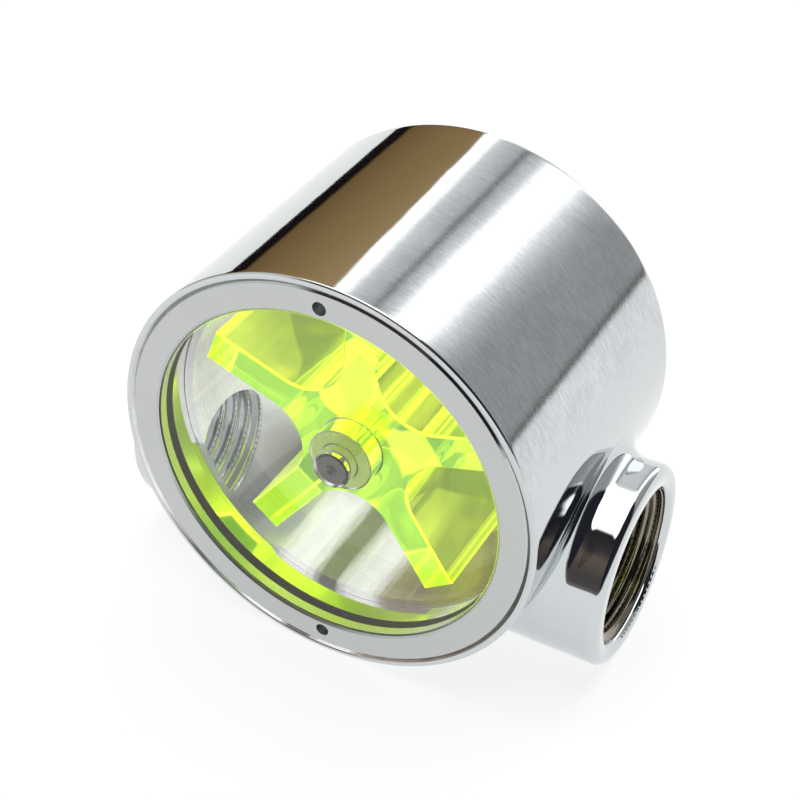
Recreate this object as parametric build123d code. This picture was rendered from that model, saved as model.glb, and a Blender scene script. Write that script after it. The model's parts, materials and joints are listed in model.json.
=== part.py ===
"""Water flow indicator: a chromed round housing with two pipe bosses, a screwed-in sight window
and a five-bladed clear rotor that the water turns.

Frame, in millimetres: +X along the pipe, -Y out through the window, +Z up. The origin is at the
centre of the footprint, on the surface that the housing's underside touches.
"""

from build123d import *
import math
import os

# Housing: a round cup, open at the front, with a boss on each side
BODY_OD = 36.4
BODY_LENGTH = 26.4
BACK_WALL = 3.8
BACK_EDGE = 0.75          # rounding of the cup's back rim
FRONT_EDGE = 0.2          # rounding of the cup's front rim
CHAMBER_CORNER = 0.9      # rounding where the chamber wall meets its back

# Pipe bosses and ports
BOSS_OD = 17.3
BOSS_RISE = 0.1           # height of the bosses' underside above the cup's underside
BOSS_BLEND = 1.5          # cast fillet where a boss grows out of the cup
BOSS_EDGE = 0.75          # rounding of a boss's outer rim
PORT_SPAN = 44.0          # end face to end face
PORT_SETBACK = 4.1        # from the window plug's back to the ports' axis
PORT_THREAD_OD = 13.157   # major diameter of a 1/4 inch parallel pipe thread
PORT_THREAD_DEPTH = 7.2
PORT_CHAMFER = 0.45
PORT_RUNOUT = 0.55        # chamfer at the thread's inner end
PORT_DRILL = 11.7         # drilled hole from the thread into the chamber
PORT_DRILL_STOP = 5.6     # where the drill stops, from the housing's middle

# Retaining ring, screwed into the cup's front
RING_LIP = 0.5            # cup wall left outside the ring
RING_BAND = 2.5           # radial width of the ring
RING_DEPTH = 1.9
RING_FIT = 0.05           # radial clearance of the ring's thread
RING_FLOOR_GAP = 0.1      # the ring stops on the O-ring, not on the cup
RING_EDGE = 0.15          # chamfer of the ring's opening
RING_BEVEL = 0.3          # wider bevel round the ring's outside
SPANNER_HOLE = 1.15
SPANNER_DEPTH = 1.2
SPANNER_INSET = 0.95      # from the ring's opening to the spanner holes' centres

# Sight window, a stepped clear plug
WINDOW_RECESS = 0.25      # its face lies this far behind the ring's face
WINDOW_STEP = 0.6         # the plug's shoulder reaches this far under the ring
WINDOW_PLUG = 5.2         # length of the plug behind its shoulder
WINDOW_FIT = 0.05
WINDOW_EDGE = 0.15
SEAT_WIDTH = 0.7          # shoulder in the cup that the plug stands on

# O-ring round the plug, pressed on its shoulder by the ring
CORD = 1.78
CORD_SQUEEZE = 0.25
GLAND_LENGTH = 2.0        # from the ring's back to the plug's shoulder
CORD_GAP = 0.02

# Rotor, shaft and bushes
BLADE_COUNT = 5
BLADE_THICKNESS = 2.95
BLADE_ROOT = 4.0          # radius of the hollow between two blades
BLADE_EDGE = 0.15
BLADE_PHASE = 16.0        # angle of the first blade above +X
TIP_GAP = 0.9             # blade tip to chamber wall
SIDE_GAP = 0.45           # rotor to the window, and rotor to the back wall
SHAFT_D = 3.175
SHAFT_CHAMFER = 0.3
CENTRE_MARK = 1.0         # countersunk centre left by the lathe in each end of the shaft
SHAFT_NOSE = 2.7          # shaft beyond the front bush
SHAFT_TAIL = 0.75         # shaft beyond the rear bush
SHAFT_FIT = 0.02          # the rotor is bonded on the shaft
SHAFT_RUN = 0.04          # radial running clearance in the bushes
BUSH_OD = 5.5
BUSH_LENGTH = 1.3
BUSH_POCKET = 3.65        # from the plug's back to the end of the front bush's pocket
BUSH_CHAMFER = 0.2
BUSH_FIT = 0.02
NOSE_ROOM = 0.1           # clearance round the shaft's ends, and so the rotor's end play

# Worked-out radii, from the outside in
BODY_R = BODY_OD / 2
RECESS_R = BODY_R - RING_LIP
RING_R = RECESS_R - RING_FIT
RING_OPENING_R = RING_R - RING_BAND
SPIGOT_R = RING_OPENING_R - WINDOW_FIT
GLAND_R = SPIGOT_R + CORD - CORD_SQUEEZE
PLUG_R = RING_OPENING_R + WINDOW_STEP
SEAT_R = PLUG_R + WINDOW_FIT
CHAMBER_R = SEAT_R - SEAT_WIDTH
ROTOR_R = CHAMBER_R - TIP_GAP

# Worked-out depths, measured back from the housing's front rim
PLUG_FRONT = RING_DEPTH + GLAND_LENGTH
PLUG_BACK = PLUG_FRONT + WINDOW_PLUG
PORT_DEPTH = PLUG_BACK + PORT_SETBACK
CHAMBER_BACK = BODY_LENGTH - BACK_WALL
ROTOR_FRONT = PLUG_BACK + SIDE_GAP
ROTOR_BACK = CHAMBER_BACK - SIDE_GAP
FRONT_BUSH_FRONT = PLUG_BACK - BUSH_POCKET
REAR_BUSH_BACK = CHAMBER_BACK + BUSH_LENGTH
SHAFT_FRONT = FRONT_BUSH_FRONT - SHAFT_NOSE
SHAFT_BACK = REAR_BUSH_BACK + SHAFT_TAIL

# Worked-out axes
AXIS_Z = BODY_R
BOSS_R = BOSS_OD / 2
PORT_Z = BOSS_R + BOSS_RISE
PORT_R = PORT_THREAD_OD / 2


def depth_y(depth):
    """Y of a depth measured back from the front rim."""
    return depth - BODY_LENGTH / 2


def turned(*profile):
    """A closed outline of (radius, depth) points, turned about the housing's axis."""
    face = make_face(Polyline(*profile, close=True))
    return Pos(0, depth_y(0), AXIS_Z) * revolve(face, axis=Axis.Y)


def disc(radius, front, back):
    """A round solid on the housing's axis, between two depths."""
    return turned((0, front), (radius, front), (radius, back), (0, back))


def tube(inner, outer, front, back):
    """A round solid with a hole through it, on the housing's axis."""
    return turned((inner, front), (outer, front), (outer, back), (inner, back))


def across(radius, start, end):
    """A round solid on the ports' axis, between two places along X."""
    place = (start, depth_y(PORT_DEPTH), PORT_Z)
    lying = Plane(origin=place, z_dir=(math.copysign(1, end - start), 0, 0))
    return extrude(lying * Circle(radius), abs(end - start))


def round_edges(solid, radius, place, along="Y"):
    """The circular edges of one radius whose centres lie at one place along an axis."""
    near = 0.01
    return [
        edge
        for edge in solid.edges().filter_by(GeomType.CIRCLE)
        if abs(edge.radius - radius) < near and abs(getattr(edge.arc_center, along) - place) < near
    ]


def rims(solid, radius, *depths):
    """The circular edges of one radius at some depths on the housing's axis."""
    return [edge for depth in depths for edge in round_edges(solid, radius, depth_y(depth))]


def cast_outside():
    """The cup and its two bosses as one casting, blended where the bosses grow out of it."""
    reach = PORT_SPAN / 2
    solid = disc(BODY_R, 0, BODY_LENGTH) + across(BOSS_R, -reach, reach)
    junction = [e for e in solid.edges() if e.geom_type not in (GeomType.CIRCLE, GeomType.LINE)]
    solid = fillet(junction, BOSS_BLEND)
    solid = fillet(rims(solid, BODY_R, BODY_LENGTH), BACK_EDGE)
    solid = fillet(rims(solid, BODY_R, 0), FRONT_EDGE)
    for place in (-reach, reach):
        solid = fillet(round_edges(solid, BOSS_R, place, "X"), BOSS_EDGE)
    return solid


def port(side):
    """What is bored into one boss: the mouth's chamfer, the thread's length and the drilled hole."""
    reach = side * PORT_SPAN / 2
    thread = across(PORT_R, reach, reach - side * PORT_THREAD_DEPTH)
    thread = chamfer(round_edges(thread, PORT_R, reach - side * PORT_THREAD_DEPTH, "X"), PORT_RUNOUT)
    drill = across(PORT_DRILL / 2, reach, side * PORT_DRILL_STOP)
    middle = (reach - side * PORT_CHAMFER / 2, depth_y(PORT_DEPTH), PORT_Z)
    inwards = Plane(origin=middle, z_dir=(-side, 0, 0))
    mouth = inwards * Cone(PORT_R + PORT_CHAMFER, PORT_R, PORT_CHAMFER)
    return thread + drill + mouth


def housing():
    """The casting, bored from the front for ring, window, chamber and rear bush, and for the pipes."""
    solid = cast_outside()
    solid -= disc(RECESS_R, 0, RING_DEPTH + RING_FLOOR_GAP)
    solid -= disc(GLAND_R, 0, PLUG_FRONT)
    solid -= disc(SEAT_R, 0, PLUG_BACK)
    chamber = disc(CHAMBER_R, 0, CHAMBER_BACK)
    solid -= fillet(rims(chamber, CHAMBER_R, CHAMBER_BACK), CHAMBER_CORNER)
    solid -= disc(BUSH_OD / 2 + BUSH_FIT, ROTOR_BACK, REAR_BUSH_BACK)
    solid -= disc(SHAFT_D / 2 + NOSE_ROOM, ROTOR_BACK, SHAFT_BACK + NOSE_ROOM)
    for side in (-1, 1):
        solid -= port(side)
    return solid


def retaining_ring():
    """The flat ring that holds the window, with two blind holes for a pin spanner."""
    ring = tube(RING_OPENING_R, RING_R, 0, RING_DEPTH)
    ring = chamfer(rims(ring, RING_OPENING_R, 0), RING_EDGE)
    ring = chamfer(rims(ring, RING_R, 0), RING_BEVEL)
    for side in (-1, 1):
        centre = (0, depth_y(0), AXIS_Z + side * (RING_OPENING_R + SPANNER_INSET))
        ring -= extrude(Plane(origin=centre, z_dir=(0, 1, 0)) * Circle(SPANNER_HOLE / 2), SPANNER_DEPTH)
    return ring


def sight_window():
    """The stepped clear plug, its spigot in the ring and the O-ring, with a blind pocket for bush and shaft."""
    plug = disc(SPIGOT_R, WINDOW_RECESS, PLUG_BACK) + disc(PLUG_R, PLUG_FRONT, PLUG_BACK)
    plug = chamfer(rims(plug, SPIGOT_R, WINDOW_RECESS) + rims(plug, PLUG_R, PLUG_BACK), WINDOW_EDGE)
    plug -= disc(BUSH_OD / 2 + BUSH_FIT, FRONT_BUSH_FRONT, PLUG_BACK)
    return plug - disc(SHAFT_D / 2 + NOSE_ROOM, SHAFT_FRONT - NOSE_ROOM, PLUG_BACK)


def window_o_ring():
    """The O-ring, squeezed between the plug's spigot and the cup, and between the ring and the shoulder."""
    inner = SPIGOT_R + CORD_GAP
    height = GLAND_R - CORD_GAP - inner
    corner = 0.48 * height
    same_area = (math.pi * CORD ** 2 / 4 + (4 - math.pi) * corner ** 2) / height
    width = min(same_area, GLAND_LENGTH - 2 * CORD_GAP)
    section = Pos(inner + height / 2, PLUG_FRONT - CORD_GAP - width / 2) * RectangleRounded(
        height, width, corner
    )
    return Pos(0, depth_y(0), AXIS_Z) * revolve(section, axis=Axis.Y)


def rotor_outline():
    """Straight paddles round a hub, joined by a smooth hollow between each two of them."""
    step = 360 / BLADE_COUNT
    half_step = math.radians(step / 2)
    hollow_at = (BLADE_ROOT + BLADE_THICKNESS / 2) / math.sin(half_step)
    side = BLADE_THICKNESS / 2
    root = Vector(hollow_at * math.cos(half_step), side)
    tip = Vector(ROTOR_R, side)
    hollow = Vector(hollow_at - BLADE_ROOT, 0).rotate(Axis.Z, step / 2)
    next_root = Vector(root.X, -side).rotate(Axis.Z, step)
    paddle = [
        Line(Vector(root.X, -side), Vector(tip.X, -side)),
        Line(Vector(tip.X, -side), tip),
        Line(tip, root),
        ThreePointArc(root, hollow, next_root),
    ]
    edges = [Rot(0, 0, index * step) * edge for index in range(BLADE_COUNT) for edge in paddle]
    return make_face(edges)


def rotor():
    """The clear bladed wheel, its edges just broken, bored for the shaft."""
    front = Plane(origin=(0, depth_y(ROTOR_FRONT), AXIS_Z), x_dir=(1, 0, 0), z_dir=(0, 1, 0))
    wheel = extrude(front * Rot(0, 0, -BLADE_PHASE) * rotor_outline(), ROTOR_BACK - ROTOR_FRONT)
    ends = wheel.faces().filter_by(Axis.Y)
    wheel = chamfer([edge for face in ends for edge in face.edges()], BLADE_EDGE)
    return wheel - disc(SHAFT_D / 2 + SHAFT_FIT, ROTOR_FRONT, ROTOR_BACK)


def shaft():
    """The plain pin that the rotor is bonded on, chamfered and centre-marked at both ends."""
    pin = disc(SHAFT_D / 2, SHAFT_FRONT, SHAFT_BACK)
    pin = chamfer(rims(pin, SHAFT_D / 2, SHAFT_FRONT, SHAFT_BACK), SHAFT_CHAMFER)
    mark = CENTRE_MARK / 2
    pin -= turned((0, SHAFT_FRONT), (mark, SHAFT_FRONT), (0, SHAFT_FRONT + mark))
    return pin - turned((0, SHAFT_BACK), (mark, SHAFT_BACK), (0, SHAFT_BACK - mark))


def bush(front):
    """A plain bearing bush for one end of the shaft."""
    back = front + BUSH_LENGTH
    sleeve = tube(SHAFT_D / 2 + SHAFT_RUN, BUSH_OD / 2, front, back)
    return chamfer(rims(sleeve, BUSH_OD / 2, front, back), BUSH_CHAMFER)


def main():
    pieces = {
        "housing": housing(),
        "retaining_ring": retaining_ring(),
        "sight_window": sight_window(),
        "window_o_ring": window_o_ring(),
        "rotor": rotor(),
        "shaft": shaft(),
        "front_bush": bush(FRONT_BUSH_FRONT),
        "rear_bush": bush(CHAMBER_BACK),
    }
    os.makedirs("parts", exist_ok=True)
    for name, piece in pieces.items():
        piece.label = name
        export_step(piece, f"parts/{name}.step")


if __name__ == "__main__":
    main()
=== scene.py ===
import json
import math

import bpy
import numpy as np
from bpy.props import FloatProperty, FloatVectorProperty, PointerProperty
from bpy.types import Operator, Panel, PropertyGroup
from mathutils import Matrix, Vector


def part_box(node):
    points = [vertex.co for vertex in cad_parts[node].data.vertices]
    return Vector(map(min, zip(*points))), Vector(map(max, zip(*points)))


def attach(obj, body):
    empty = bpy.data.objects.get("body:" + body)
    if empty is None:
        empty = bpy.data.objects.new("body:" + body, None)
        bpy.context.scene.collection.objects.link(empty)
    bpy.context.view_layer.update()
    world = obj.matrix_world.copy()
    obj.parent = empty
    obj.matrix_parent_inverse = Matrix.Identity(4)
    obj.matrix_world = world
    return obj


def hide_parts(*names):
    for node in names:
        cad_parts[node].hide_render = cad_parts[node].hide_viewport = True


bl_info = {
    "name": "Water flow indicator",
    "version": (1, 0, 0),
    "blender": (4, 5, 0),
    "location": "3D View > Sidebar > Flow Indicator",
    "description": "Dresses a chromed flow indicator with its threads, finishes and studio",
    "category": "Object",
}

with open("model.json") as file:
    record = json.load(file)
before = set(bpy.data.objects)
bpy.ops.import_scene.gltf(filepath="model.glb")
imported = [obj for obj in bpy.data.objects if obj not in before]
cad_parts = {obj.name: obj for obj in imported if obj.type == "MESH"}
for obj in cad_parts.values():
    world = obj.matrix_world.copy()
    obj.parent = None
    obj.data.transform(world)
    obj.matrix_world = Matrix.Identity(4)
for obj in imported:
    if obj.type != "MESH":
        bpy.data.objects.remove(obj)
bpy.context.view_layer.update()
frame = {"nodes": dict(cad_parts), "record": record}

HOUSING_LOW, HOUSING_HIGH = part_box("housing")
RING_LOW, RING_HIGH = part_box("retaining_ring")
SHAFT_LOW, SHAFT_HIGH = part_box("shaft")
ROTOR_LOW, ROTOR_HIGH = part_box("rotor")
WINDOW_LOW, WINDOW_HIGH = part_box("sight_window")
BUSH_LOW, BUSH_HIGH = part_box("front_bush")
SEAL_LOW, SEAL_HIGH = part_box("window_o_ring")
CHAMBER_END = ROTOR_HIGH.y + (ROTOR_LOW.y - WINDOW_HIGH.y)
MOUNTS = {mount["name"]: mount for mount in frame["record"]["mounts"]}
PORT = MOUNTS["port_right"]
AXIS_Z = (RING_LOW.z + RING_HIGH.z) / 2
FRONT_Y = HOUSING_LOW.y
BODY_RADIUS = HOUSING_HIGH.z - AXIS_Z
PORT_Z = PORT["pos_m"][2]
THREAD_ROOT = PORT["dims"]["r_mm"] / 1000
THREAD_END = PORT["pos_m"][0]
THREAD_LENGTH = PORT["dims"]["length_mm"] / 1000
IMAGE_SIZE = 800


class ThreadSizes(PropertyGroup):
    pitch: FloatProperty(
        name="Pitch", description="Distance between two crests of the pipe thread",
        default=0.001337, unit="LENGTH", precision=6)
    depth: FloatProperty(
        name="Depth", description="How far a crest stands inside the root",
        default=0.000856, unit="LENGTH", precision=6)
    sunk: FloatProperty(
        name="Sunk", description="How far the thread's back lies in the metal of the port's wall",
        default=0.000025, unit="LENGTH", precision=6)


class ShellSizes(PropertyGroup):
    front_edge: FloatProperty(
        name="Front edge", description="Rounding of the cup's front rim",
        default=0.0002, unit="LENGTH", precision=6)
    back_edge: FloatProperty(
        name="Back edge", description="Rounding of the cup's back rim",
        default=0.00075, unit="LENGTH", precision=6)
    lip: FloatProperty(
        name="Lip", description="Width of the cup's rim outside the retaining ring",
        default=0.0005, unit="LENGTH", precision=6)
    boss_radius: FloatProperty(
        name="Boss radius", description="Radius of the pipe bosses",
        default=0.00865, unit="LENGTH", precision=6)
    boss_edge: FloatProperty(
        name="Boss edge", description="Rounding of a boss's outer rim",
        default=0.00075, unit="LENGTH", precision=6)
    blend: FloatProperty(
        name="Blend", description="Fillet where a boss grows out of the cup",
        default=0.0015, unit="LENGTH", precision=6)
    mouth: FloatProperty(
        name="Mouth", description="Chamfer at the mouth of a port",
        default=0.00045, unit="LENGTH", precision=6)
    plate: FloatProperty(
        name="Plate", description="How far the polished plate stands proud of the metal",
        default=0.000016, unit="LENGTH", precision=6)
    plate_depth: FloatProperty(
        name="Plate depth", description="Thickness of the plate's shell, most of it inside the metal",
        default=0.0001, unit="LENGTH", precision=6)


class ChromeFinish(PropertyGroup):
    colour: FloatVectorProperty(
        name="Colour", description="Colour of the chrome plate",
        default=(0.60, 0.63, 0.645), subtype="COLOR", min=0, max=1)
    roughness: FloatProperty(
        name="Roughness", description="Roughness of the polished plate",
        default=0.045, subtype="FACTOR", min=0, max=1)
    grain: FloatProperty(
        name="Grain", description="Strength of the turning marks round the body",
        default=0.16, subtype="FACTOR", min=0, max=1)
    # Painted shade: a darker brown for the right port's thread, standing in for the shade inside the port.
    port_shade: FloatVectorProperty(
        name="Stain", description="Colour of the right port's thread, which is seen from outside",
        default=(0.27, 0.25, 0.20), subtype="COLOR", min=0, max=1)
    wear: FloatProperty(
        name="Wear", description="Contrast of the streaks and smudges in the body's plate",
        default=0.7, min=0, max=3)
    bored_colour: FloatVectorProperty(
        name="Bored colour", description="Colour of the plated metal inside the chamber and the ports",
        default=(0.40, 0.40, 0.395), subtype="COLOR", min=0, max=1)
    bored_roughness: FloatProperty(
        name="Bored roughness", description="Roughness along the axis of the turned chamber wall",
        default=0.42, subtype="FACTOR", min=0, max=1)
    # Painted light: strength of an emission in bands on the chamber wall that stands in for reflected
    # ceiling light.
    painted_chamber_light: FloatProperty(
        name="Gathered light", description="Strength of the light that the turned chamber wall gathers",
        default=0.9, min=0, max=5)


class RingFinish(PropertyGroup):
    colour: FloatVectorProperty(
        name="Colour", description="Colour of the retaining ring's satin nickel",
        default=(0.54, 0.56, 0.552), subtype="COLOR", min=0, max=1)
    roughness: FloatProperty(
        name="Roughness", description="Roughness of the satin face",
        default=0.34, subtype="FACTOR", min=0, max=1)
    edge_roughness: FloatProperty(
        name="Edge roughness", description="Roughness of the bright broken edge",
        default=0.07, subtype="FACTOR", min=0, max=1)
    bevel: FloatProperty(
        name="Bevel", description="Width of the ring's bright outer bevel",
        default=0.0003, unit="LENGTH", precision=6)


class WindowFinish(PropertyGroup):
    colour: FloatVectorProperty(
        name="Colour", description="Faint tint of the clear acrylic",
        default=(0.985, 1.0, 0.98), subtype="COLOR", min=0, max=1)
    ior: FloatProperty(
        name="Refraction", description="Refractive index of acrylic",
        default=1.49, min=1.0, max=2.0)
    spigot: FloatProperty(
        name="Spigot", description="Radius of the window's front part, inside the ring and the seal",
        default=0.0151, unit="LENGTH", precision=6)
    side_roughness: FloatProperty(
        name="Side roughness", description="Roughness of the turned side that the ring surrounds",
        default=0.32, subtype="FACTOR", min=0, max=1)
    edge: FloatProperty(
        name="Edge", description="Polished facet on the window's edges",
        default=0.0001, unit="LENGTH", precision=6)
    seat_air: FloatProperty(
        name="Seat air", description="Film of air between the window's back and its metal seat",
        default=0.00003, unit="LENGTH", precision=6)
    grease: FloatProperty(
        name="Grease", description="How far the greased seal is pressed into the window's wall",
        default=0.00002, unit="LENGTH", precision=6)


class LimeFinish(PropertyGroup):
    colour: FloatVectorProperty(
        name="Colour", description="Tint of the fluorescent lime acrylic",
        default=(0.60, 0.86, 0.04), subtype="COLOR", min=0, max=1)
    side_colour: FloatVectorProperty(
        name="Side colour", description="Tint of the acrylic through its broad sides",
        default=(0.71, 0.84, 0.06), subtype="COLOR", min=0, max=1)
    # Painted glow: the rotor's emission stands in for the dye's fluorescence and for light gathered at the
    # acrylic's edges.
    glow: FloatVectorProperty(
        name="Glow", description="Light that the fluorescent dye gives back at tips and hollows",
        default=(0.84, 1.0, 0.01), subtype="COLOR", min=0, max=1)
    side_glow: FloatVectorProperty(
        name="Side glow", description="Light that the dye gives back through the broad sides",
        default=(0.18, 0.29, 0.004), subtype="COLOR", min=0, max=1)
    front_glow: FloatVectorProperty(
        name="Front glow", description="Light that the dye gives back at the flat front and back",
        default=(0.15, 0.36, 0.0), subtype="COLOR", min=0, max=1)
    # Painted highlights: tint and glow of two bright patches beside the hub, standing in for light caught
    # inside the acrylic.
    highlight_tint: FloatVectorProperty(
        name="Patch colour", description="Tint of the two bright patches beside the hub",
        default=(0.55, 0.55, 0.01), subtype="COLOR", min=0, max=1)
    highlight_glow: FloatVectorProperty(
        name="Patch glow", description="Light given back by the two bright patches beside the hub",
        default=(1.45, 1.60, 0.0), subtype="COLOR", min=0, max=4)
    hollow_share: FloatProperty(
        name="Hollow share", description="Share of the full glow in the hollows between the blades",
        default=0.45, subtype="FACTOR", min=0, max=1)
    hollow_reach: FloatProperty(
        name="Hollow reach", description="How far from the axis the hollows between the blades glow",
        default=0.0071, unit="LENGTH", precision=6)
    glow_strength: FloatProperty(
        name="Glow strength", description="Strength of the dye's light",
        default=0.48, min=0, max=5)


class StudioSetup(PropertyGroup):
    azimuth: FloatProperty(
        name="Azimuth", description="Camera's turn to the right of the window's axis",
        default=math.radians(27.44), subtype="ANGLE")
    elevation: FloatProperty(
        name="Elevation", description="Camera's height above the horizon",
        default=math.radians(37.77), subtype="ANGLE")
    roll: FloatProperty(
        name="Roll", description="Camera's turn about its own axis",
        default=math.radians(1.67), subtype="ANGLE")
    focal_length: FloatProperty(
        name="Focal length", description="Lens in millimetres on a 36 mm wide sensor",
        default=73.67)
    distance: FloatProperty(
        name="Distance", description="From the camera to the plane of the window's centre",
        default=0.1259, unit="LENGTH")
    floor_colour: FloatVectorProperty(
        name="Floor colour", description="Colour of the plain pale floor",
        default=(0.30, 0.30, 0.30), subtype="COLOR", min=0, max=1)
    floor_glow: FloatProperty(
        name="Floor glow", description="Light that comes through the floor's paper",
        default=0.80, min=0, max=5)
    ceiling_light: FloatProperty(
        name="Ceiling light", description="Brightness of the wide soft light overhead",
        default=2.3, min=0, max=20)


# Clearances and edges of the smooth pieces, in metres.
BUSH_SLACK = 0.000025
BUSH_CHAMFER = 0.0002
NOSE_ROOM = 0.0001
FLAT_HOLD = 0.00002
# Shape of the thread's crest, of its ends in shares of a pitch, and of the squeezed seal's section.
THREAD_SHARPNESS = 1.5
THREAD_MOUTH = 0.6
THREAD_RUNOUT = 0.8
SEAL_POWER = 1 / 6
# Depths of the tool marks that bump nodes draw, and the step at a mask's edge, in metres.
FINE_MARKS = 0.00002
TOOL_MARKS = 0.000025
DEEP_MARKS = 0.00003
MASK_STEP = 0.0001
# Faces whose normal lies this close to the axis are flat ends, the others are sides.
END_NORMAL = 0.9
# Greys and colours of the room's bands and of the painted light on the chamber wall, each at its place from
# 0 to 1.
WALL_STOPS = (
    (0.33, 1.9), (0.355, 1.9), (0.375, 0.95), (0.41, 0.72), (0.447, 0.60), (0.453, 0.13), (0.460, 0.12),
    (0.464, 0.55), (0.51, 0.95), (0.53, 1.9), (0.62, 2.0), (0.66, 1.0), (0.70, 0.58), (0.75, 0.42),
    (0.86, 0.40),
)
BOARD_STOPS = (
    (0.0, (0.010, 0.008, 0.009)), (0.09, (0.008, 0.006, 0.005)), (0.12, (0.20, 0.125, 0.050)),
    (0.44, (0.353, 0.230, 0.100)), (0.60, (0.47, 0.32, 0.16)),
)
# Painted light on the chamber wall, by the angle round the axis, standing in for reflected light.
CHAMBER_LIGHT_STOPS = (
    (0.0, 0.62), (0.08, 0.85), (0.13, 0.10), (0.168, (0.30, 0.36, 0.26)), (0.186, 1.0), (0.208, 1.0),
    (0.219, 0.10), (0.235, 0.08), (0.246, 0.8), (0.268, 1.0), (0.284, (0.22, 0.16, 0.11)),
    (0.34, (0.13, 0.08, 0.045)), (0.42, (0.06, 0.06, 0.04)), (0.60, 0.08), (0.88, 0.30), (1.0, 0.62),
)
FRONT_STOPS = (
    (0.0, 0.22), (0.08, (0.10, 0.09, 0.085)), (0.25, (0.085, 0.075, 0.075)), (0.57, (0.17, 0.13, 0.10)),
    (0.70, (0.06, 0.052, 0.055)), (0.88, (0.025, 0.022, 0.025)),
)
# Painted highlights on the rotor's front, two bright patches standing in for light caught inside the
# acrylic: place across and up, half width, half height, lean in radians, power.
LIME_HIGHLIGHT_PATCHES = (
    (-0.0002, 0.0060, 0.0022, 0.0040, 0.42, 4.0),
    (0.0052, 0.0014, 0.0036, 0.0028, 0.30, 0.8),
)
# Where the window's centre and the camera's axis meet the picture, the sensor's width, and the nearest and
# farthest that the camera sees.
TARGET_PIXEL = (320.7, 481.9)
LENS_PIXEL = (402.7, 403.5)
SENSOR_MM = 36.0
CLIP_RANGE = (0.003, 50.0)
FLOOR_HALF = 3.0
# How often light may bounce: in all, through clear acrylic and off metal.
BOUNCES = {"max_bounces": 24, "transmission_bounces": 20, "glossy_bounces": 10}
# Refractive indices of acrylic and nylon.
ACRYLIC_IOR = 1.49
NYLON_IOR = 1.53


def settings(name):
    """The scene's property group of that name."""
    return getattr(bpy.context.scene, "flow_" + name)


def grid_faces(rows, columns, wrap_columns=True, wrap_rows=False):
    """Quads of a grid of rows x columns points, joined round where asked."""
    last_row = rows if wrap_rows else rows - 1
    last_column = columns if wrap_columns else columns - 1
    row, column = np.meshgrid(np.arange(last_row), np.arange(last_column), indexing="ij")
    next_row, next_column = (row + 1) % rows, (column + 1) % columns
    corners = [row * columns + column, row * columns + next_column,
               next_row * columns + next_column, next_row * columns + column]
    return np.stack(corners, axis=-1).reshape(-1, 4)


def surface_object(name, points, faces, body, material):
    """A smooth piece from a whole array of points and a list or array of faces, riding on that CAD body."""
    mesh = bpy.data.meshes.new(name)
    listed = faces if isinstance(faces, list) else faces.tolist()
    mesh.from_pydata(points.reshape(-1, 3).tolist(), [], listed)
    mesh.validate()
    mesh.shade_smooth()
    piece = bpy.data.objects.new(name, mesh)
    bpy.context.scene.collection.objects.link(piece)
    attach(piece, body)
    mesh.materials.append(material)
    return piece


def add(tree, kind, **values):
    """A node of that kind. Values name its own settings or, with underscores for spaces, its inputs."""
    node = tree.nodes.new(kind)
    for key, value in values.items():
        if hasattr(node, key):
            setattr(node, key, value)
        else:
            node.inputs[key.replace("_", " ")].default_value = value
    return node


def new_material(name, **values):
    """An empty node material with its tree and a Principled shader whose inputs have those values."""
    material = bpy.data.materials.new(name)
    material.use_nodes = True
    tree = material.node_tree
    tree.nodes.clear()
    return material, tree, add(tree, "ShaderNodeBsdfPrincipled", **values)


def finish_material(tree, shader, **sockets):
    """Joins each socket to the shader's input of that name, and the shader to a material output."""
    for key, socket in sockets.items():
        tree.links.new(socket, shader.inputs[key.replace("_", " ")])
    output = add(tree, "ShaderNodeOutputMaterial")
    tree.links.new(shader.outputs[0], output.inputs["Surface"])


def feed(tree, sockets, values):
    """Gives each socket its value: a link from another socket, a number or a colour."""
    for socket, value in zip(sockets, values):
        if isinstance(value, bpy.types.NodeSocket):
            tree.links.new(value, socket)
        else:
            socket.default_value = value if isinstance(value, (int, float)) else (*value, 1.0)


def math_node(tree, operation, *values, clamp=False):
    """A Math node's output; each input is a socket or a number."""
    node = add(tree, "ShaderNodeMath", operation=operation, use_clamp=clamp)
    feed(tree, node.inputs, values)
    return node.outputs[0]


def product(tree, *factors):
    """All factors multiplied, from the first on."""
    result = factors[0]
    for factor in factors[1:]:
        result = math_node(tree, "MULTIPLY", result, factor)
    return result


def distance(tree, first, second):
    """The root of the sum of both squares."""
    squares = [math_node(tree, "POWER", side, 2.0) for side in (first, second)]
    return math_node(tree, "SQRT", math_node(tree, "ADD", *squares))


def object_place(tree):
    """Object coordinates as one socket."""
    return add(tree, "ShaderNodeTexCoord").outputs["Object"]


def object_axes(tree):
    """Object coordinates as three sockets, with z measured from the body's axis."""
    split = add(tree, "ShaderNodeSeparateXYZ")
    tree.links.new(object_place(tree), split.inputs[0])
    return split.outputs[0], split.outputs[1], math_node(tree, "SUBTRACT", split.outputs[2], AXIS_Z)


def axis_distance(tree):
    """Distance from the body's axis."""
    x, _, height = object_axes(tree)
    return distance(tree, x, height)


def turned_vector(tree, stretch_round, stretch_along, axis="Y"):
    """Coordinates that follow a turned face: arc angle, place along the axis and radius, each stretched."""
    x, y, height = object_axes(tree)
    across, along = x, y
    if axis == "X":
        across, along = y, x
        height = math_node(tree, "ADD", height, AXIS_Z - PORT_Z)
    angle = math_node(tree, "ARCTAN2", height, across)
    combine = add(tree, "ShaderNodeCombineXYZ")
    feed(tree, combine.inputs, (product(tree, angle, stretch_round), product(tree, along, stretch_along),
                                product(tree, distance(tree, across, height), stretch_along)))
    return combine.outputs[0]


def noise(tree, vector, scale, detail=3.0, roughness=0.5):
    """A Noise texture's value read at that vector."""
    node = add(tree, "ShaderNodeTexNoise", Scale=scale, Detail=detail, Roughness=roughness)
    tree.links.new(vector, node.inputs["Vector"])
    return node.outputs[0]


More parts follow.
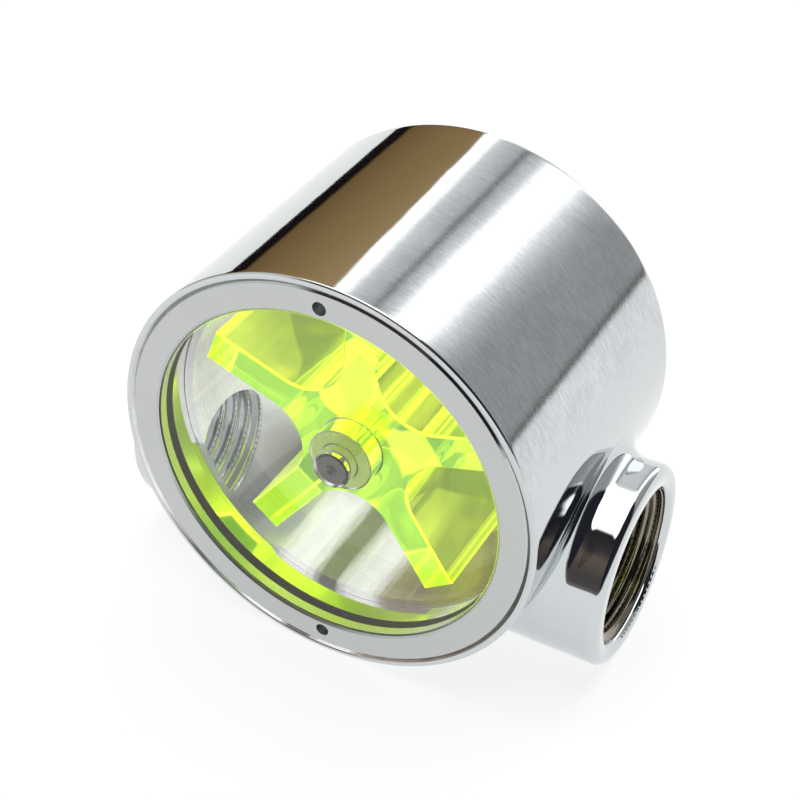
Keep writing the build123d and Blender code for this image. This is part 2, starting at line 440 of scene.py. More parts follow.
def centred(tree, value):
    """That value less one half, so that noise swings to both sides of zero."""
    return math_node(tree, "SUBTRACT", value, 0.5)


def spread(tree, value, low, high):
    """The value's range 0 to 1 laid over low to high."""
    node = add(tree, "ShaderNodeMapRange", To_Min=low, To_Max=high)
    tree.links.new(value, node.inputs["Value"])
    return node.outputs[0]


def step_mask(tree, value, start, end):
    """0 below start, 1 above end and smooth between; end may be the lower one."""
    node = add(tree, "ShaderNodeMapRange", interpolation_type="SMOOTHSTEP", From_Min=start, From_Max=end)
    tree.links.new(value, node.inputs["Value"])
    return node.outputs[0]


def blend_colours(tree, factor, first, second, blend_type="MIX"):
    """A Mix node between two colours, each a socket or a triple."""
    node = add(tree, "ShaderNodeMix", data_type="RGBA", blend_type=blend_type)
    feed(tree, (node.inputs["Factor"], node.inputs[6], node.inputs[7]), (factor, first, second))
    return node.outputs[2]


def ramp(tree, value, stops):
    """A Color Ramp's colour, from (place, grey or colour) stops."""
    node = add(tree, "ShaderNodeValToRGB")
    tree.links.new(value, node.inputs[0])
    while len(node.color_ramp.elements) < len(stops):
        node.color_ramp.elements.new(0.5)
    for element, (place, tone) in zip(node.color_ramp.elements, stops):
        element.position = place
        element.color = (tone, tone, tone, 1.0) if isinstance(tone, float) else (*tone, 1.0)
    return node.outputs[0]


def bump(tree, height, strength, depth):
    """A Bump node's normal from a height socket."""
    node = add(tree, "ShaderNodeBump", Strength=strength, Distance=depth)
    tree.links.new(height, node.inputs["Height"])
    return node.outputs[0]


def shade(colour, factor):
    """That colour with each channel multiplied."""
    return tuple(channel * factor for channel in colour)


def bored_mask(tree):
    """1 in the chamber, the window's seat and the pipe ports, 0 on the outside of the casting."""
    _, y, height = object_axes(tree)
    from_port = distance(tree, y, math_node(tree, "ADD", height, AXIS_Z - PORT_Z))
    in_cup = math_node(tree, "LESS_THAN", axis_distance(tree), RING_HIGH.x + MASK_STEP)
    ahead = math_node(tree, "LESS_THAN", y, CHAMBER_END + MASK_STEP)
    in_port = math_node(tree, "LESS_THAN", from_port, THREAD_ROOT + MASK_STEP)
    return math_node(tree, "MAXIMUM", product(tree, in_cup, ahead), in_port)


def turned_material():
    """Plated metal of the cup itself: in the chamber the cutter's rings spread light along the axis, and a
    painted light, an emission in bands by the angle round the axis that run from front to back, stands in
    for the light that the wall reflects, while the cup's back stays polished."""
    chrome = settings("chrome")
    material, tree, shader = new_material(
        "turned chrome", Metallic=1.0, Anisotropic=1.0, Anisotropic_Rotation=0.25,
        Emission_Strength=chrome.painted_chamber_light)
    bored = bored_mask(tree)
    x, y, height = object_axes(tree)
    lengthwise = turned_vector(tree, 5.5, 20.0)
    bands = step_mask(tree, noise(tree, lengthwise, 1.0, 3.0, 0.6), 0.40, 0.56)
    turn = math_node(tree, "MULTIPLY_ADD", math_node(tree, "ARCTAN2", height, x), 0.5 / math.pi, 0.5)
    ragged = product(tree, centred(tree, noise(tree, lengthwise, 5.0, 4.0, 0.7)), 0.02)
    # Painted light: the wall glows in bands by its angle round the axis, brighter towards the window.
    painted_bands = ramp(tree, math_node(tree, "ADD", turn, ragged), CHAMBER_LIGHT_STOPS)
    grain = noise(tree, turned_vector(tree, 6.0, 2200.0), 3.0, 3.0, 0.6)
    tangent = add(tree, "ShaderNodeTangent", direction_type="RADIAL", axis="Y")
    dull = blend_colours(tree, grain, shade(chrome.bored_colour, 0.45), shade(chrome.bored_colour, 0.85))
    metal = blend_colours(tree, bands, dull, chrome.bored_colour)
    wall = step_mask(tree, axis_distance(tree), ROTOR_HIGH.x + 4 * MASK_STEP, ROTOR_HIGH.x + 6 * MASK_STEP)
    ahead = step_mask(tree, y, CHAMBER_END, (CHAMBER_END + WINDOW_HIGH.y) / 2)
    glow_share = product(tree, wall, bored, spread(tree, ahead, 0.45, 1.0), spread(tree, grain, 0.75, 1.15))
    finish_material(
        tree, shader, Tangent=tangent.outputs[0],
        Base_Color=blend_colours(tree, bored, chrome.colour, metal),
        Emission_Color=blend_colours(tree, glow_share, (0.0, 0.0, 0.0), painted_bands),
        Roughness=math_node(tree, "MULTIPLY_ADD", bored, chrome.bored_roughness, chrome.roughness),
        Normal=bump(tree, grain, 0.2, FINE_MARKS))
    return material


def tapped_material():
    """Plated metal of the cut threads: bright, with fine marks of the tap along the crests, and in the
    right port a darker brown, a painted shade standing in for the dark inside of the port."""
    chrome = settings("chrome")
    material, tree, shader = new_material("tapped chrome", Metallic=1.0)
    marks = noise(tree, turned_vector(tree, 4.0, 900.0, "X"), 3.0, 3.0)
    x, _, _ = object_axes(tree)
    right = math_node(tree, "GREATER_THAN", x, 0.0)
    plain_tone = blend_colours(tree, marks, shade(chrome.colour, 0.85), shade(chrome.colour, 1.20))
    # Painted shade: the right port's thread takes a darker brown tone for the shade inside the port.
    shaded_right = blend_colours(tree, marks, shade(chrome.port_shade, 0.7), shade(chrome.port_shade, 1.2))
    finish_material(
        tree, shader, Base_Color=blend_colours(tree, right, plain_tone, shaded_right),
        Roughness=spread(tree, marks, 0.08, 0.20), Normal=bump(tree, marks, 0.1, FINE_MARKS))
    return material


def chrome_material():
    """Polished chrome over turned and cast brass: turning marks and streaks on the body, most at its upper
    right, and faint cloudiness elsewhere."""
    chrome = settings("chrome")
    material, tree, shader = new_material("polished chrome", Metallic=1.0)
    place, radius = object_place(tree), axis_distance(tree)
    x, _, above = object_axes(tree)
    brushed = product(tree, step_mask(tree, x, 0.0, BODY_RADIUS * 0.25),
                      step_mask(tree, above, BODY_RADIUS * 0.2, BODY_RADIUS * 0.45))
    on_body = step_mask(tree, radius, BODY_RADIUS - 3 * MASK_STEP, BODY_RADIUS - MASK_STEP)
    off_bosses = step_mask(tree, radius, BODY_RADIUS + 5 * MASK_STEP, BODY_RADIUS + 2 * MASK_STEP)
    grain_mask = product(tree, on_body, off_bosses, spread(tree, brushed, 0.12, 1.0))
    grain = product(tree, noise(tree, turned_vector(tree, 0.35, 60.0), 350.0, 4.0, 0.65), grain_mask)
    height = math_node(tree, "ADD", product(tree, grain, chrome.grain), noise(tree, place, 223.0, 2.0))
    streaks = centred(tree, noise(tree, turned_vector(tree, 2.2, 1000.0), 8.0, 3.0, 0.7))
    smudges = centred(tree, noise(tree, place, 160.0, 4.0, 0.65))
    marked = math_node(tree, "MULTIPLY_ADD", streaks, 1.5, smudges)
    worn = math_node(tree, "ADD", product(tree, marked, grain_mask, chrome.wear), 0.5, clamp=True)
    finish_material(
        tree, shader,
        Base_Color=blend_colours(tree, worn, shade(chrome.colour, 0.62), shade(chrome.colour, 1.38)),
        Roughness=math_node(tree, "MULTIPLY_ADD", grain, 0.10, chrome.roughness),
        Normal=bump(tree, height, 0.35, DEEP_MARKS))
    return material


def ring_material():
    """Satin nickel with a fine even grain, slightly darker clouds and a polished bevel round its edge."""
    ring = settings("ring")
    material, tree, shader = new_material("satin nickel", Metallic=1.0)
    clouds = noise(tree, object_place(tree), 143.0, 3.0)
    lines = noise(tree, turned_vector(tree, 3.0, 1430.0), 6.0, 3.0)
    rim = RING_HIGH.x - ring.bevel
    face = step_mask(tree, axis_distance(tree), rim + MASK_STEP / 5, rim - MASK_STEP / 5)
    satin = spread(tree, clouds, ring.roughness - 0.06, ring.roughness + 0.06)
    finish_material(
        tree, shader,
        Base_Color=blend_colours(tree, clouds, shade(ring.colour, 0.93), shade(ring.colour, 1.05)),
        Roughness=math_node(tree, "MAXIMUM", product(tree, satin, face), ring.edge_roughness),
        Normal=bump(tree, lines, 0.12, TOOL_MARKS))
    return material


def window_material():
    """Clear polished acrylic, with a trace of wiping marks in its gloss and duller turned sides."""
    window = settings("window")
    material, tree, shader = new_material(
        "clear acrylic", IOR=window.ior, Transmission_Weight=1.0, Base_Color=(*window.colour, 1.0))
    haze = spread(tree, noise(tree, object_place(tree), 255.0, 4.0), 0.0, 0.02)
    radius = axis_distance(tree)
    on_side = step_mask(tree, radius, window.spigot - 1.2 * MASK_STEP, window.spigot - 0.6 * MASK_STEP)
    on_plug = step_mask(tree, radius, WINDOW_HIGH.x - 2 * MASK_STEP, WINDOW_HIGH.x - MASK_STEP)
    dull = math_node(tree, "SUBTRACT", product(tree, on_side, window.side_roughness),
                     product(tree, on_plug, window.side_roughness * 0.7))
    finish_material(tree, shader, Roughness=math_node(tree, "ADD", haze, dull))
    return material


def painted_highlight_patch(tree, x, height, clouds):
    """1 in the painted highlights on the rotor's front: where the sum of both leaning offsets, each over
    its half size and raised to the power listed for it, stays under one, with an edge that the clouds make
    uneven."""
    uneven = math_node(tree, "SUBTRACT", 0.5, clouds)
    highlight = 0.0
    for across, up, half_width, half_height, lean, power in LIME_HIGHLIGHT_PATCHES:
        offsets = (math_node(tree, "SUBTRACT", x, across), math_node(tree, "SUBTRACT", height, up))
        cosine, sine = math.cos(lean), math.sin(lean)
        total = uneven
        for share_x, share_z, half in ((cosine, -sine, half_width), (sine, cosine, half_height)):
            offset = math_node(tree, "ADD", product(tree, offsets[0], share_x / half),
                               product(tree, offsets[1], share_z / half))
            total = math_node(tree, "ADD", total,
                              math_node(tree, "POWER", math_node(tree, "ABSOLUTE", offset), power))
        highlight = math_node(tree, "MAXIMUM", highlight, step_mask(tree, total, 1.08, 0.92))
    return highlight


def lime_material():
    """Clear lime acrylic with a painted glow for the light its fluorescent dye gives back: most at the
    blades' tips and in two painted highlights beside the hub, less in the hollows and on the flat front,
    and least on the broad sides."""
    lime = settings("lime")
    material, tree, shader = new_material(
        "lime acrylic", IOR=ACRYLIC_IOR, Transmission_Weight=1.0, Emission_Strength=lime.glow_strength)
    place = object_place(tree)
    x, _, height = object_axes(tree)
    radius = distance(tree, x, height)
    clouds = noise(tree, place, 190.0, 3.0)
    split = add(tree, "ShaderNodeSeparateXYZ")
    tree.links.new(add(tree, "ShaderNodeNewGeometry").outputs["Normal"], split.inputs[0])
    towards_back = split.outputs[1]
    flat = math_node(tree, "GREATER_THAN", math_node(tree, "ABSOLUTE", towards_back), END_NORMAL)
    side = math_node(tree, "SUBTRACT", 1.0, flat)
    # Painted glow: full at the blades' tips and a share of it in the hollows near the hub.
    tip = product(tree, math_node(tree, "GREATER_THAN", radius, ROTOR_HIGH.x * 0.995), side)
    hollow = product(tree, step_mask(tree, radius, lime.hollow_reach, lime.hollow_reach * 0.8), side)
    bright = math_node(tree, "MAXIMUM", tip, product(tree, hollow, lime.hollow_share))
    # Painted highlights: two bright glowing patches on the front, standing in for light caught inside the
    # acrylic.
    highlight = product(tree, painted_highlight_patch(tree, x, height, clouds),
                    math_node(tree, "LESS_THAN", towards_back, -END_NORMAL))
    # Painted glow in soft blotches on the broad sides.
    blotches = step_mask(tree, noise(tree, place, 260.0, 1.0), 0.52, 0.72)
    broad = blend_colours(tree, blotches, lime.side_glow, shade(lime.glow, 0.50))
    glow = blend_colours(tree, bright, blend_colours(tree, flat, broad, lime.front_glow), lime.glow)
    tint = blend_colours(tree, flat, lime.side_colour, lime.colour)
    tint = blend_colours(tree, highlight, tint, lime.highlight_tint)
    cloudy = blend_colours(tree, clouds, (0.88, 0.86, 0.82), (1.0, 1.0, 1.0))
    finish_material(
        tree, shader, Base_Color=blend_colours(tree, 1.0, tint, cloudy, "MULTIPLY"),
        Emission_Color=blend_colours(tree, highlight, glow, lime.highlight_glow),
        Roughness=spread(tree, clouds, 0.02, 0.10),
        Normal=bump(tree, noise(tree, place, 1430.0, 2.0), 0.08, DEEP_MARKS))
    return material


def rubber_material():
    """Dark brown rubber of the squeezed O-ring, faintly mottled."""
    material, tree, shader = new_material("seal rubber", Specular_IOR_Level=0.08)
    mottle = noise(tree, object_place(tree), 800.0, 3.0)
    finish_material(
        tree, shader, Roughness=spread(tree, mottle, 0.38, 0.55),
        Base_Color=blend_colours(tree, mottle, (0.065, 0.043, 0.030), (0.100, 0.072, 0.050)))
    return material


def pin_material():
    """Ground stainless steel with rings left by facing on its end and fine lines along its length, coloured
    far darker than steel as painted shade.
    """
    material, tree, shader = new_material("ground stainless", Metallic=1.0)
    lines = noise(tree, turned_vector(tree, 0.5, 2230.0), 3.0, 3.0)
    finish_material(
        tree, shader, Roughness=spread(tree, lines, 0.26, 0.42),
        # Painted shade: a near-black base colour in place of steel's bright one.
        Base_Color=blend_colours(tree, lines, (0.080, 0.074, 0.070), (0.135, 0.126, 0.120)),
        Normal=bump(tree, lines, 0.15, TOOL_MARKS))
    return material


def nylon_material():
    """Natural nylon of the bushes: cloudy, with light passing through it, a soft sheen and a painted olive
    glow.
    """
    # Painted glow: the emission gives the bushes a faint olive light of their own.
    material, tree, shader = new_material(
        "bush nylon", IOR=NYLON_IOR, Transmission_Weight=0.55, Emission_Color=(0.13, 0.17, 0.035, 1.0),
        Emission_Strength=1.0)
    clouds = noise(tree, object_place(tree), 480.0, 3.0)
    finish_material(
        tree, shader, Roughness=spread(tree, clouds, 0.22, 0.36),
        Base_Color=blend_colours(tree, clouds, (0.50, 0.58, 0.20), (0.62, 0.70, 0.28)))
    return material


def floor_material():
    """Plain pale paper lit from below as well as above, so that shadows on it stay faint."""
    studio = settings("studio")
    material, tree, shader = new_material(
        "pale floor", Roughness=0.9, Specular_IOR_Level=0.0, Emission_Color=(1.0, 1.0, 1.0, 1.0),
        Emission_Strength=studio.floor_glow)
    fibre = noise(tree, object_place(tree), 8.0, 2.0)
    finish_material(
        tree, shader,
        Base_Color=blend_colours(tree, fibre, shade(studio.floor_colour, 0.99), studio.floor_colour))
    return material


def paint(node_name, material):
    """Gives a CAD node that material in place of its packed one."""
    target = frame["nodes"][node_name]
    target.data.materials.clear()
    target.data.materials.append(material)


def arc(centre, radius, start, end, steps):
    """Points of an arc in the plane of a profile: centre plus radius times (cosine, sine) of evenly spaced
    angles."""
    angle = np.radians(np.linspace(start, end, steps))
    return np.stack([centre[0] + radius * np.cos(angle), centre[1] + radius * np.sin(angle)], axis=-1)


def turned_points(section, columns):
    """A section of (radius, place along the axis) turned about the body's axis."""
    angle = np.linspace(0, 2 * np.pi, columns, endpoint=False)
    radius, turn = np.meshgrid(section[:, 0], angle, indexing="ij")
    along = np.repeat(section[:, 1:], columns, axis=1)
    return np.stack([radius * np.cos(turn), along, AXIS_Z + radius * np.sin(turn)], axis=-1)


def cup_points(columns=480, rows_along=90, rim_steps=12, tail_steps=14):
    """The cup's outside from its rim to its back edge: a profile of (radius, place along the axis) turned
    about the body's axis. The profile is a rounding of the front rim, a straight line and the back
    rim's rounding."""
    shell = settings("shell")
    outer = BODY_RADIUS + shell.plate
    front, back = shell.front_edge, shell.back_edge
    start, end = FRONT_Y - shell.plate, HOUSING_HIGH.y + shell.plate
    lip = np.array([[BODY_RADIUS - shell.lip + shell.plate, start]])
    rim = arc((outer - front, start + front), front, -90, 0, rim_steps)
    places = np.linspace(start + front, end - back, rows_along)[1:-1]
    wall = np.stack([np.full(rows_along - 2, outer), places], axis=-1)
    tail = arc((outer - back, end - back), back, 0, 90, tail_steps)
    return turned_points(np.concatenate([lip, rim, wall, tail]), columns)


def clear_of_ports(points, faces):
    """The quads that lie outside both bosses, so that the cup's plate leaves the ports open."""
    shell = settings("shell")
    middle = points.reshape(-1, 3)[faces].mean(axis=1)
    from_port = np.hypot(middle[:, 1], middle[:, 2] - PORT_Z)
    outside = (from_port > shell.boss_radius - shell.mouth) | (np.abs(middle[:, 0]) < shell.boss_radius)
    return faces[outside]


def boss_points(side, columns=288, blend_steps=22, wall_steps=10, rim_steps=12):
    """One boss from the cup to its mouth, as a profile carried round the port's axis by the angle turn.
    The blend is a ball of the fillet's radius rolling in the corner: its centre is at boss radius +
    fillet from the port's axis and at body radius + fillet from the cup's, and the surface is that
    centre plus the fillet's radius times a direction that swings from the cup's axis to the port's.
    Then come the boss, its outer rounding, its end and the mouth's chamfer."""
    shell = settings("shell")
    proud = shell.plate
    turn = np.linspace(0, 2 * np.pi, columns, endpoint=False)
    outward = np.stack([np.zeros(columns), np.cos(turn), np.sin(turn)], axis=-1)
    reach = shell.boss_radius + shell.blend
    height = PORT_Z + reach * np.sin(turn) - AXIS_Z
    along = np.sqrt((BODY_RADIUS + shell.blend) ** 2 - height ** 2)
    centre = np.stack([along, reach * np.cos(turn), height + AXIS_Z], axis=-1)
    to_cup = np.stack([-along, np.zeros(columns), -height], axis=-1) / (BODY_RADIUS + shell.blend)
    between = np.arccos(np.clip(-(to_cup * outward).sum(axis=-1), -1, 1))[:, None]
    rows = []
    for share in np.linspace(0, 1, blend_steps):
        swing = np.sin((1 - share) * between) * to_cup - np.sin(share * between) * outward
        rows.append(centre + (shell.blend - proud) * swing / np.sin(between))
    end, edge, radius = THREAD_END + shell.mouth + proud, shell.boss_edge, shell.boss_radius + proud
    rounding = arc((end - edge, radius - edge), edge, 90, 0, rim_steps)
    chamfer = shell.mouth + proud
    mouth = np.array([[end, THREAD_ROOT + chamfer], [end - chamfer, THREAD_ROOT - proud]])
    for share in np.linspace(0, 1, wall_steps)[1:-1]:
        place = along + share * (end - edge - along)
        rows.append(np.stack([place, radius * outward[:, 1], PORT_Z + radius * outward[:, 2]], axis=-1))
    for place, from_port in np.concatenate([rounding, mouth]):
        ring = PORT_Z * np.array([0, 0, 1]) + from_port * outward
        ring[:, 0] = place
        rows.append(ring)
    points = np.stack(rows)
    points[..., 0] *= side
    return points


def bush_points(columns=128):
    """The front bush as a closed tube: a chamfered ring section turned about the axis, a hair shorter and
    thinner than its pocket so that light passes between the two."""
    slack = BUSH_SLACK
    inner = (SHAFT_HIGH.x - SHAFT_LOW.x) / 2 + slack
    outer, front, back = BUSH_HIGH.x - slack, BUSH_LOW.y + slack, BUSH_HIGH.y - slack
    edge = BUSH_CHAMFER
    section = np.array([
        (inner, front), (outer - edge, front), (outer, front + edge), (outer, back - edge),
        (outer - edge, back), (inner, back),
    ])
    return turned_points(section, columns)


def faceted(corners, edge, hold=FLAT_HOLD):
    """A section whose inner corners are cut by small facets, with a row at hold from each facet that keeps
    the flats flat under smooth shading."""
    rows = []
    for before, corner, after in zip(corners, corners[1:], corners[2:]):
        back, ahead = before - corner, after - corner
        back, ahead = back / np.hypot(*back), ahead / np.hypot(*ahead)
        rows += [corner + back * (edge + hold), corner + back * edge, corner + ahead * edge,
                 corner + ahead * (edge + hold)]
    return np.array(rows)


def window_shape(columns=360):
    """The window as a turned solid closed on its axis: a spigot inside the ring and the seal, a shoulder,
    the thicker plug, and from its back the bush's pocket and the shaft's blind hole. A film of air
    parts it from its seat. Triangles join its first and last row to a point on the axis."""
    window = settings("window")
    front, shoulder, back = WINDOW_LOW.y, SEAL_HIGH.y + BUSH_SLACK, WINDOW_HIGH.y - window.seat_air
    plug, pocket, hole = WINDOW_HIGH.x, BUSH_HIGH.x + BUSH_SLACK, SHAFT_HIGH.x + BUSH_SLACK
    end = SHAFT_LOW.y - NOSE_ROOM
    section = np.array([
        (0, front), (window.spigot, front), (window.spigot, shoulder), (plug, shoulder), (plug, back),
        (pocket, back), (pocket, BUSH_LOW.y), (hole, BUSH_LOW.y), (hole, end), (0, end),
    ])
    points = turned_points(faceted(section, window.edge), columns)
    quads = grid_faces(*points.shape[:2])[:, ::-1]
    count = points.shape[0] * columns
    step = np.arange(columns)
    after = (step + 1) % columns
    first = np.stack([np.full(columns, count), step, after], axis=-1)
    last = np.stack([np.full(columns, count + 1), count - columns + after, count - columns + step], axis=-1)
    poles = np.array([(0, front, AXIS_Z), (0, end, AXIS_Z)])
    return np.concatenate([points.reshape(-1, 3), poles]), quads.tolist() + first.tolist() + last.tolist()


def seal_points(columns=360, rows=64):
    """The squeezed O-ring, a nearly square section turned about the axis and bedded in grease on the
    window's spigot. Its points are a times sign(cos t) |cos t|^(1/6) and b times sign(sin t)
    |sin t|^(1/6), where a and b are its half-widths."""
    window = settings("window")
    t = np.linspace(0, 2 * np.pi, rows, endpoint=False)
    inner, outer = window.spigot - window.grease, SEAL_HIGH.x
    half, width = (outer - inner) / 2, (SEAL_HIGH.y - SEAL_LOW.y) / 2
    across = (outer + inner) / 2 + half * np.sign(np.cos(t)) * np.abs(np.cos(t)) ** SEAL_POWER
    along = (SEAL_HIGH.y + SEAL_LOW.y) / 2 + width * np.sign(np.sin(t)) * np.abs(np.sin(t)) ** SEAL_POWER
    return turned_points(np.stack([across, along], axis=-1), columns)


def plate_shell(piece):
    """Gives an open skin its thickness inwards, with its rims closed."""
    shell = settings("shell")
    solid = piece.modifiers.new("plate", "SOLIDIFY")
    solid.thickness = shell.plate_depth
    solid.offset = -1
    solid.use_rim = True


def thread_points(side, turns_round=160, steps_per_pitch=14):
    """The port's inner thread as a closed sleeve. Its inner face has the radius root minus depth times a
    tooth, which is half of one plus the cosine of the helical phase, sharpened by a power. The phase is
    a full turn times depth / pitch, plus the angle, turned over at the left so that both threads run
    right-handed. The depth fades to nothing over part of a pitch at either end. Its back is a cylinder
    just inside the metal."""
    sizes = settings("thread")
    steps = int(round(THREAD_LENGTH / sizes.pitch * steps_per_pitch))
    along = np.linspace(0.0, THREAD_LENGTH, steps)
    angle = np.linspace(0.0, 2 * np.pi, turns_round, endpoint=False)
    depth_in, turn = np.meshgrid(along, angle, indexing="ij")
    phase = 2 * np.pi * (depth_in / sizes.pitch) + side * turn
    tooth = (0.5 + 0.5 * np.cos(phase)) ** THREAD_SHARPNESS
    mouth = np.clip(depth_in / (THREAD_MOUTH * sizes.pitch), 0.0, 1.0)
    runout = np.clip((THREAD_LENGTH - depth_in) / (THREAD_RUNOUT * sizes.pitch), 0.0, 1.0)
    fade = np.minimum(mouth, runout)
    back = THREAD_ROOT + sizes.sunk
    radius = THREAD_ROOT - sizes.depth * tooth * fade
    radius[0, :] = back
    radius[-1, :] = back
    place = side * (THREAD_END - depth_in)
    return np.stack([place, radius * np.cos(turn), PORT_Z + radius * np.sin(turn)], axis=-1)


class FLOW_OT_housing(Operator):
    """Lays the polished chrome plate over the cup and its bosses, and dulls what was bored"""

    bl_idname = "flow.housing"
    bl_label = "Housing"

    def execute(self, context):
        chrome = chrome_material()
        paint("housing", turned_material())
        points = cup_points()
        faces = clear_of_ports(points, grid_faces(*points.shape[:2]))[:, ::-1]
        plate_shell(surface_object("cup_plate", points, faces, "body", chrome))
        for name, side in (("boss_plate_right", 1), ("boss_plate_left", -1)):
            points = boss_points(side)
            faces = grid_faces(*points.shape[:2])[:, ::side]
            plate_shell(surface_object(name, points, faces, "body", chrome))
        return {"FINISHED"}


class FLOW_OT_port_threads(Operator):
    """Cuts the pipe threads that show in the two ports"""

    bl_idname = "flow.port_threads"
    bl_label = "Port threads"

    def execute(self, context):
        tapped = tapped_material()
        for name, side in (("port_thread_right", 1), ("port_thread_left", -1)):
            points = thread_points(side)
            faces = grid_faces(*points.shape[:2], wrap_rows=True)[:, ::side]
            surface_object(name, points, faces, "body", tapped)
        return {"FINISHED"}


class FLOW_OT_ring(Operator):
    """Gives the screwed retaining ring its satin nickel"""

    bl_idname = "flow.ring"
    bl_label = "Retaining ring"

    def execute(self, context):
        paint("retaining_ring", ring_material())
        return {"FINISHED"}


class FLOW_OT_window(Operator):
    """Turns the clear sight window and the dark seal that is squeezed round it"""

    bl_idname = "flow.window"
    bl_label = "Sight window and seal"

    def execute(self, context):
        points, faces = window_shape()
        window = surface_object("window_plug", points, faces, "body", window_material())
        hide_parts("sight_window")
        points = seal_points()
        faces = grid_faces(*points.shape[:2], wrap_rows=True)
        seal = surface_object("seal_ring", points, faces, "body", rubber_material())
        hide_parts("window_o_ring")
        return {"FINISHED"}


class FLOW_OT_rotor(Operator):
    """Gives the bladed rotor its fluorescent lime acrylic"""

    bl_idname = "flow.rotor"
    bl_label = "Rotor"

    def execute(self, context):
        paint("rotor", lime_material())
        return {"FINISHED"}


class FLOW_OT_shaft(Operator):
    """Gives the shaft its ground steel and the two bushes their nylon"""

    bl_idname = "flow.shaft"
    bl_label = "Shaft and bushes"

    def execute(self, context):
        paint("shaft", pin_material())
        nylon = nylon_material()
        paint("rear_bush", nylon)
        points = bush_points()
        faces = grid_faces(*points.shape[:2], wrap_rows=True)[:, ::-1]
        bush = surface_object("bush_sleeve", points, faces, "body", nylon)
        bush.data.shade_flat()
        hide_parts("front_bush")
        return {"FINISHED"}


def camera_axes(azimuth, elevation, roll):
    """Right, up and back directions of a camera that looks at the object from that side."""
    back = Vector((math.sin(azimuth) * math.cos(elevation), -math.cos(azimuth) * math.cos(elevation),
                   math.sin(elevation)))
    level = Vector((math.cos(azimuth), math.sin(azimuth), 0.0))
    upward = back.cross(level)
    right = math.cos(roll) * level + math.sin(roll) * upward
    up = math.cos(roll) * upward - math.sin(roll) * level
    return right, up, back


def make_camera(studio):
    """Puts the window's centre, on the front plane, at its place in the picture."""
    right, up, back = camera_axes(studio.azimuth, studio.elevation, studio.roll)
    pixels = studio.focal_length / SENSOR_MM * IMAGE_SIZE
    across = (TARGET_PIXEL[0] - LENS_PIXEL[0]) / pixels * studio.distance
    above = (LENS_PIXEL[1] - TARGET_PIXEL[1]) / pixels * studio.distance
    target = Vector((0.0, FRONT_Y, AXIS_Z))
    data = bpy.data.cameras.new("studio camera")
    data.sensor_width = SENSOR_MM
    data.lens = studio.focal_length
    data.shift_x = (IMAGE_SIZE / 2 - LENS_PIXEL[0]) / IMAGE_SIZE
    data.shift_y = (LENS_PIXEL[1] - IMAGE_SIZE / 2) / IMAGE_SIZE
    data.clip_start, data.clip_end = CLIP_RANGE
    camera = bpy.data.objects.new("studio camera", data)
    turn = Matrix((right, up, back)).transposed().to_4x4()
    place = target - across * right - above * up + studio.distance * back
    camera.matrix_world = Matrix.Translation(place) @ turn
    bpy.context.scene.collection.objects.link(camera)
    bpy.context.scene.camera = camera


def make_floor():
    """A plain square floor under the part."""
    half = FLOOR_HALF
    corners = [(-half, -half, 0.0), (half, -half, 0.0), (half, half, 0.0), (-half, half, 0.0)]
    mesh = bpy.data.meshes.new("floor")
    mesh.from_pydata(corners, [], [(0, 1, 2, 3)])
    floor = bpy.data.objects.new("floor", mesh)
    bpy.context.scene.collection.objects.link(floor)
    mesh.materials.append(floor_material())


def make_room(studio):
    """The room that the chrome mirrors, by direction: a wide white light overhead, behind the part a pale
    wall between a brown board at the left and a grey side at the right, a darker room in front, a
    nearly black side at the right and thin dark lines along the far edges of the table."""
    world = bpy.data.worlds.new("studio room")
    bpy.context.scene.world = world
    world.use_nodes = True
    tree = world.node_tree
    tree.nodes.clear()
    direction = add(tree, "ShaderNodeTexCoord").outputs["Generated"]
    split = add(tree, "ShaderNodeSeparateXYZ")
    tree.links.new(direction, split.inputs[0])
    x, y, z = split.outputs
    ripple = product(tree, centred(tree, noise(tree, direction, 7.0, 4.0, 0.6)), 0.06)
    fine = product(tree, centred(tree, noise(tree, direction, 60.0, 3.0, 0.7)), 0.03)
    ragged_x = math_node(tree, "ADD", math_node(tree, "ADD", x, fine), ripple)

    def mask(*spans):
        """1 where each value is past the end of its span."""
        return product(tree, *(step_mask(tree, *span) for span in spans))

    place = math_node(tree, "MULTIPLY_ADD", ragged_x, 0.5, 0.5)
    behind = (y, -0.1, 0.1)
    ceiling = shade((1.0, 1.0, 0.99), studio.ceiling_light)
    colour = blend_colours(tree, mask(behind), (0.80, 0.82, 0.83), ramp(tree, place, WALL_STOPS))
    layers = (
        (mask(behind, (ragged_x, -0.335, -0.350)), ramp(tree, z, BOARD_STOPS)),
        (mask((z, 0.05, 0.02), (x, 0.25, 0.4), behind), (0.10, 0.09, 0.09)),
        (mask((z, 0.80, 0.86)), ceiling),
        (mask((y, -0.15, -0.35), (ragged_x, -0.62, -0.45), (ragged_x, 0.85, 0.7), (z, 0.91, 0.88)),
         ramp(tree, z, FRONT_STOPS)),
        (mask((ragged_x, 0.33, 0.38), (y, 0.42, 0.34), (z, 0.04, 0.12), (z, 0.93, 0.91)),
         (0.022, 0.022, 0.030)),
    )
    for where, tone in layers:
        colour = blend_colours(tree, where, colour, tone)
    light = add(tree, "ShaderNodeBackground")
    tree.links.new(colour, light.inputs["Color"])
    output = add(tree, "ShaderNodeOutputWorld")
    tree.links.new(light.outputs[0], output.inputs["Surface"])


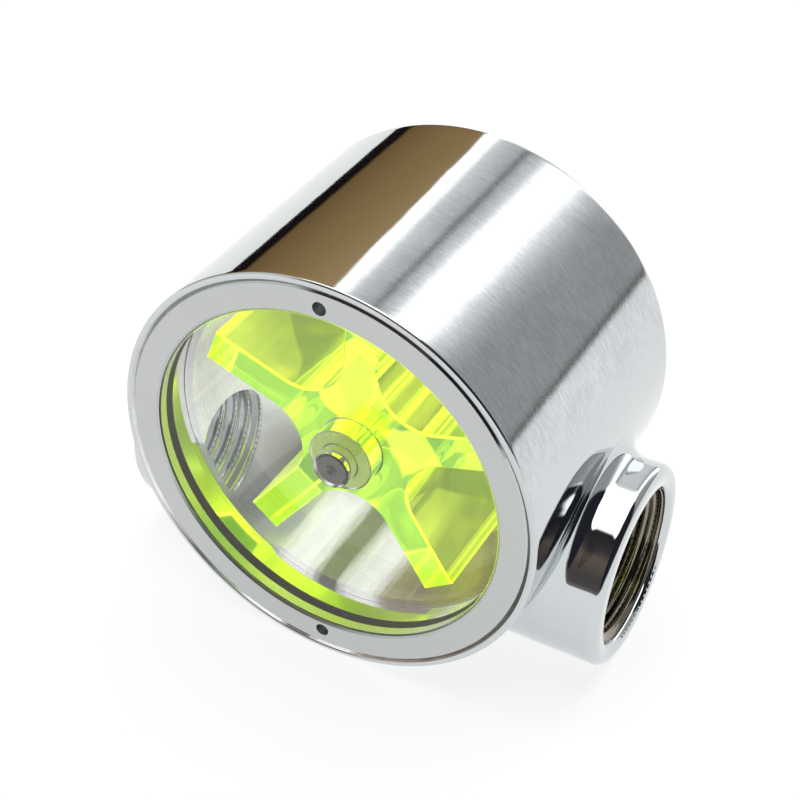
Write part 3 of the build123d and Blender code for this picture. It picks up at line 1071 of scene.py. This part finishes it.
class FLOW_OT_stage(Operator):
    """Builds the plain pale floor, the soft light of the room and the camera"""

    bl_idname = "flow.stage"
    bl_label = "Stage"

    def execute(self, context):
        studio = settings("studio")
        make_floor()
        make_room(studio)
        make_camera(studio)
        context.scene.view_settings.view_transform = "Standard"
        for kind, count in BOUNCES.items():
            setattr(context.scene.cycles, kind, count)
        return {"FINISHED"}


class FLOW_PT_panel(Panel):
    """Lists the steps that dress the flow indicator"""

    bl_idname = "FLOW_PT_panel"
    bl_label = "Flow Indicator"
    bl_space_type = "VIEW_3D"
    bl_region_type = "UI"
    bl_category = "Flow Indicator"

    def draw(self, context):
        for operator in OPERATORS:
            self.layout.operator(operator.bl_idname)


GROUPS = {
    "shell": ShellSizes,
    "thread": ThreadSizes,
    "chrome": ChromeFinish,
    "ring": RingFinish,
    "window": WindowFinish,
    "lime": LimeFinish,
    "studio": StudioSetup,
}
OPERATORS = (
    FLOW_OT_housing,
    FLOW_OT_port_threads,
    FLOW_OT_ring,
    FLOW_OT_window,
    FLOW_OT_rotor,
    FLOW_OT_shaft,
    FLOW_OT_stage,
)


def register():
    for group in GROUPS.values():
        bpy.utils.register_class(group)
    for name, group in GROUPS.items():
        setattr(bpy.types.Scene, "flow_" + name, PointerProperty(type=group))
    for operator in OPERATORS:
        bpy.utils.register_class(operator)
    bpy.utils.register_class(FLOW_PT_panel)


def unregister():
    bpy.utils.unregister_class(FLOW_PT_panel)
    for operator in reversed(OPERATORS):
        bpy.utils.unregister_class(operator)
    for name in GROUPS:
        delattr(bpy.types.Scene, "flow_" + name)
    for group in reversed(list(GROUPS.values())):
        bpy.utils.unregister_class(group)


def corners(pair):
    """Two corner vectors as plain lists."""
    return [list(pair[0]), list(pair[1])]


def main():
    """Registers the add-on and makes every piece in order."""
    register()
    bpy.ops.flow.housing()
    bpy.ops.flow.port_threads()
    bpy.ops.flow.ring()
    bpy.ops.flow.window()
    bpy.ops.flow.rotor()
    bpy.ops.flow.shaft()
    bpy.ops.flow.stage()


if __name__ == "__main__":
    main()
